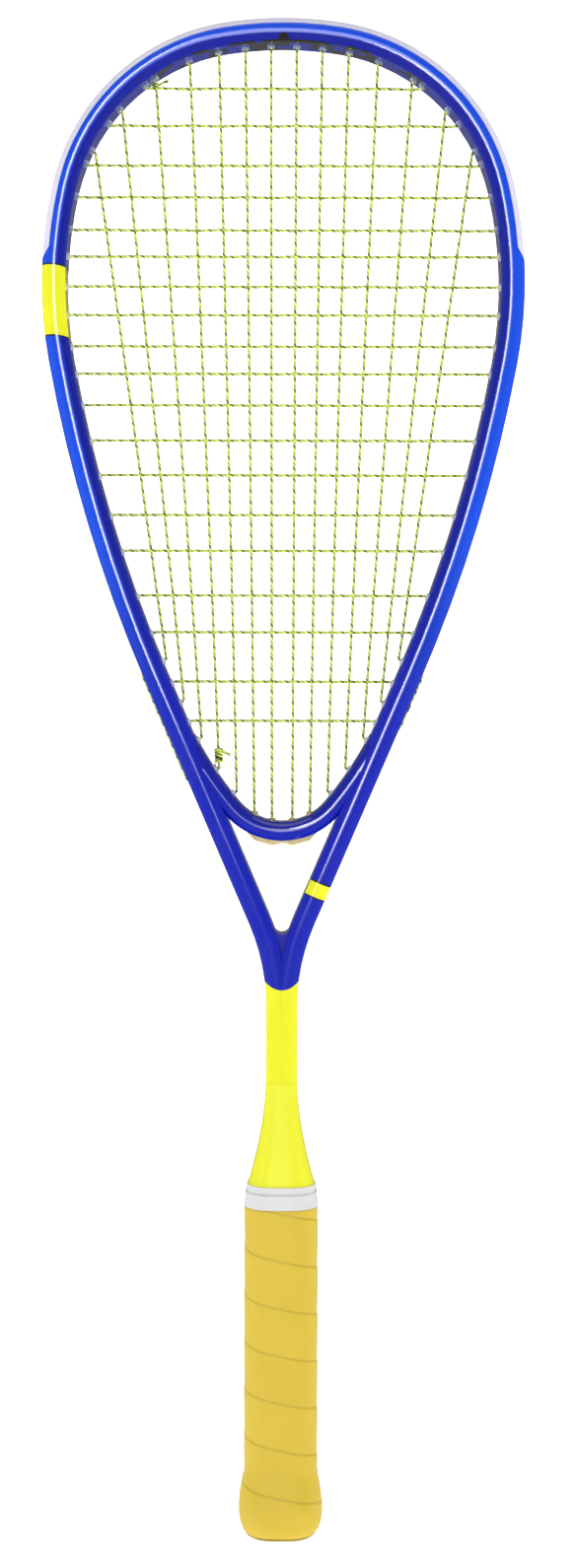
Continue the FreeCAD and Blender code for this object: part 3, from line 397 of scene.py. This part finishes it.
def moulded(name, dark, light, roughness, grain, depth):
    """Moulded plastic or rubber with a fine spark-eroded grain."""
    graph = Graph(name)
    texture = graph.noise(grain, 4.0, 0.6)
    graph.bump(texture, depth, 0.5)
    graph.set(Base_Color=graph.mix(texture, dark, light), Roughness=roughness)
    return graph.material


def steel():
    graph = Graph("staple_steel")
    marks = graph.noise(3000.0, 3.0)
    graph.bump(marks, 0.00002, 0.3)
    graph.set(Base_Color=graph.mix(marks, (0.55, 0.55, 0.56), (0.70, 0.70, 0.71)))
    graph.set(Metallic=1.0, Roughness=0.32)
    return graph.material


def grip_leather():
    """Soft synthetic leather: fine pores and small creases, with painted shade darkening the seams."""
    graph = Graph("grip_leather")
    seam_shade = graph.add("ShaderNodeAttribute", attribute_name="seam_shade").outputs["Fac"]
    cloud = graph.noise(38.0, 4.0, 0.6)
    colour = graph.mix(cloud, (0.63, 0.45, 0.018), (0.71, 0.515, 0.030))
    pores = graph.cells(1500.0)
    grain = graph.noise(900.0, 4.0, 0.6)
    colour = graph.mix(graph.ramp(pores, 0.0, 0.35, 0.25, 0.0), colour, (0.60, 0.36, 0.03))
    # Painted shade along the seams, where each turn of tape laps the last.
    colour = graph.mix(graph.both(seam_shade, 0.55), colour, (0.40, 0.25, 0.02))
    height = graph.add_up(graph.both(pores, 0.6), grain)
    graph.bump(height, 0.00012, 0.5)
    rough = graph.ramp(grain, 0.3, 0.7, 0.52, 0.66)
    graph.set(Base_Color=colour, Roughness=rough, Sheen_Weight=0.15, Sheen_Roughness=0.5)
    return graph.material


def stage_white():
    graph = Graph("stage_white")
    paper = graph.noise(12.0, 2.0)
    graph.set(Base_Color=graph.mix(paper, (0.90, 0.90, 0.90), (0.92, 0.92, 0.92)), Roughness=0.95)
    graph.set(Specular_IOR_Level=0.0, Emission_Color=(1.0, 1.0, 1.0), Emission_Strength=0.85)
    return graph.material


def new_object(name, points, faces):
    mesh = bpy.data.meshes.new(name)
    mesh.from_pydata(points, [], faces)
    mesh.validate()
    mesh.update()
    thing = bpy.data.objects.new(name, mesh)
    bpy.context.scene.collection.objects.link(thing)
    return thing


def butt_width(z):
    """The wrapped butt's width: a round swell that eases into the grip above."""
    if z <= BUTT_HEIGHT:
        share = (BUTT_HEIGHT - z) / BUTT_HEIGHT
        return BUTT_BOTTOM_WIDTH + (BUTT_WIDTH - BUTT_BOTTOM_WIDTH) * math.sqrt(1 - share ** BUTT_SWELL)
    if z >= BUTT_FLARE_TOP:
        return GRIP_WIDTH
    share = (z - BUTT_HEIGHT) / (BUTT_FLARE_TOP - BUTT_HEIGHT)
    return GRIP_WIDTH + (BUTT_WIDTH - GRIP_WIDTH) * (1 + math.cos(math.pi * share)) / 2


def outline(width, turn):
    """A point on the grip's rounded section, and the way out from it, at a share of a turn."""
    half_x = width / 2
    half_y = half_x - (GRIP_WIDTH - GRIP_DEPTH) / 2
    corner = min(GRIP_CORNER * width / GRIP_WIDTH, half_y - LEAST_FLAT)
    run_x = half_x - corner
    run_y = half_y - corner
    arc = math.pi / 2 * corner
    distance = (turn % 1.0) * (4 * run_x + 4 * run_y + 4 * arc)
    legs = [(run_y, half_x, 0.0, 0.0, 1.0), (2 * run_x, run_x, half_y, -1.0, 0.0),
            (2 * run_y, -half_x, run_y, 0.0, -1.0), (2 * run_x, -run_x, -half_y, 1.0, 0.0),
            (run_y, half_x, -run_y, 0.0, 1.0)]
    centres = [(run_x, run_y, 0.0), (-run_x, run_y, 90.0), (-run_x, -run_y, 180.0), (run_x, -run_y, 270.0)]
    for index, (length, x, y, way_x, way_y) in enumerate(legs):
        if distance <= length or index == 4:
            return Vector((x + way_x * distance, y + way_y * distance, 0)), Vector((way_y, -way_x, 0))
        distance -= length
        if distance <= arc:
            cx, cy, begin = centres[index]
            angle = math.radians(begin) + distance / corner
            out = Vector((math.cos(angle), math.sin(angle), 0))
            return Vector((cx, cy, 0)) + out * corner, out
        distance -= arc
    raise ValueError("no such place on the section")


def seam_shape(phase):
    """How far the tape's surface lies under its crest, and how near its edge is."""
    if phase > 1 - WRAP_EDGE:
        share = (phase - 1 + WRAP_EDGE) / WRAP_EDGE
        return WRAP_STEP * (0.5 - 0.5 * math.cos(math.pi * share)), share ** 2
    rest = phase / (1 - WRAP_EDGE)
    return WRAP_STEP * (1 - rest ** 0.5), max(0.0, 1 - 2 * phase / WRAP_EDGE)


def grip_depth(z, turn, low, high):
    """How far the tape lies inside the plain outline at a place, and how much painted shade its seam
    takes.
    """
    sunk, dark = seam_shape(((z - low) / WRAP_PITCH + turn + WRAP_START) % 1.0)
    angle = 2 * math.pi * turn
    soft = noise.noise(Vector((math.cos(angle) * UNEVEN_ROUND, math.sin(angle) * UNEVEN_ROUND,
                               z * UNEVEN_ALONG)))
    ends = min(1.0, (high - z) / END_FADE, (z - low) / END_FADE)
    tuck = max(0.0, min(1.0, (z - COLLAR_BOTTOM + TUCK_RUN) / TUCK_RUN))
    depth = (sunk * ends + UNEVEN * (1 + soft)) * (1 - tuck) + TUCK_DEPTH * tuck
    depth += END_SINK * (1 - ends) * (1 - tuck)
    return depth, dark * min(1.0, ends)


def closed_faces(rings):
    """The faces of a closed skin whose rings of points join end to end."""
    faces = []
    for row in range(rings):
        for column in range(WRAP_COLUMNS):
            after = (column + 1) % WRAP_COLUMNS
            here = row * WRAP_COLUMNS
            there = (row + 1) % rings * WRAP_COLUMNS
            faces.append((here + column, here + after, there + after, there + column))
    return faces


def grip_piece():
    """The grip's tape, wound round the handle in a helix with each turn lapped on the last."""
    low, high = (corner[2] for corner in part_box("grip_wrap"))
    heights = [low + (high - low) * row / WRAP_ROWS for row in range(WRAP_ROWS + 1)]
    turns = [column / WRAP_COLUMNS for column in range(WRAP_COLUMNS)]
    points, seam_shades = [], []
    for z in heights:
        for turn in turns:
            point, out = outline(butt_width(z), turn)
            depth, seam_shade = grip_depth(z, turn, low, high)
            seam_shades.append(seam_shade)
            points.append(point - out * depth + Vector((0, 0, z)))
    for z in reversed(heights):
        for turn in turns:
            point, out = outline(butt_width(z), turn)
            seam_shades.append(0.0)
            points.append(point - out * WRAP_INSET + Vector((0, 0, z)))
    grip = new_object("grip_leather_wrap", points, closed_faces(2 * len(heights)))
    values = grip.data.attributes.new("seam_shade", "FLOAT", "POINT")
    values.data.foreach_set("value", seam_shades)
    for face in grip.data.polygons:
        face.use_smooth = True
    grip.data.materials.append(grip_leather())
    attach(grip, "root")
    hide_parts("grip_wrap")


def paint_nodes():
    """Gives each carried-over node its material."""
    clear = clear_plastic("grommet_plastic", (0.86, 0.87, 0.90), (0.95, 0.95, 0.97), 0.35)
    finishes = {
        "frame_tube": frame_paint(),
        "throat_bridge": bridge_paint(),
        "bumper_guard": clear_guard(),
        "left_grommet_strip": clear,
        "right_grommet_strip": clear,
        "throat_grommet_strip": clear_plastic(
            "amber_plastic", (0.88, 0.68, 0.26), (0.96, 0.82, 0.40), 0.35),
        "main_strings": string_material("main_string", False),
        "cross_strings": string_material("cross_string", True),
        "handle_foam": neck_paint(),
        "butt_cap": moulded(
            "cap_plastic", (0.33, 0.25, 0.05), (0.40, 0.31, 0.07), 0.45, 1200.0, 0.00005),
        "butt_cap_staples": steel(),
        "finishing_tape": moulded(
            "tape", (0.78, 0.78, 0.76), (0.84, 0.84, 0.82), 0.4, 600.0, 0.00004),
        "grip_collar": moulded(
            "collar_rubber", (0.66, 0.66, 0.67), (0.72, 0.72, 0.72), 0.42, 900.0, 0.00005),
    }
    for name, material in finishes.items():
        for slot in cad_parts[name].material_slots:
            slot.material = material


def backdrop():
    """A pale floor that curves up into the wall behind."""
    turn = DROP_BACK - DROP_RADIUS
    profile = [(DROP_FRONT, 0.0), (turn, 0.0)]
    for step in range(1, DROP_STEPS + 1):
        angle = math.pi / 2 * step / DROP_STEPS
        rise = DROP_RADIUS * (1 - math.cos(angle))
        profile.append((turn + DROP_RADIUS * math.sin(angle), rise))
    profile.append((DROP_BACK, DROP_TOP))
    points = [(x, y, z) for y, z in profile for x in (-DROP_HALF, DROP_HALF)]
    faces = [(2 * i, 2 * i + 1, 2 * i + 3, 2 * i + 2) for i in range(len(profile) - 1)]
    floor = new_object("backdrop", points, faces)
    for face in floor.data.polygons:
        face.use_smooth = True
    floor.data.materials.append(stage_white())
    floor.visible_glossy = False


def softbox(name, place, target, width, height, watts, lights_surfaces, shows_in_gloss):
    lamp = bpy.data.lights.new(name, "AREA")
    lamp.shape = "RECTANGLE"
    lamp.size = width
    lamp.size_y = height
    lamp.energy = watts
    thing = bpy.data.objects.new(name, lamp)
    thing.location = place
    thing.rotation_euler = (Vector(target) - Vector(place)).to_track_quat("-Z", "Y").to_euler()
    thing.visible_diffuse = lights_surfaces
    thing.visible_glossy = shows_in_gloss
    bpy.context.scene.collection.objects.link(thing)


def lights():
    for light in LIGHTS:
        softbox(*light)
    world = bpy.data.worlds.new("studio")
    world.use_nodes = True
    background = world.node_tree.nodes["Background"]
    background.inputs["Color"].default_value = (1.0, 1.0, 1.0, 1.0)
    background.inputs["Strength"].default_value = WORLD_LIGHT
    bpy.context.scene.world = world


def camera():
    lens = bpy.data.cameras.new("camera")
    lens.sensor_fit = "VERTICAL"
    lens.sensor_height = SENSOR_HEIGHT
    lens.lens = CAMERA_LENS
    thing = bpy.data.objects.new("camera", lens)
    tilt = Matrix.Rotation(math.radians(CAMERA_TILT), 4, "X")
    roll = Matrix.Rotation(math.radians(CAMERA_ROLL), 4, "Z")
    thing.matrix_world = Matrix.Translation(CAMERA_PLACE) @ tilt @ roll
    bpy.context.scene.collection.objects.link(thing)
    bpy.context.scene.camera = thing


camera()
lights()
backdrop()
paint_nodes()
grip_piece()
bpy.context.scene.view_settings.view_transform = "Standard"
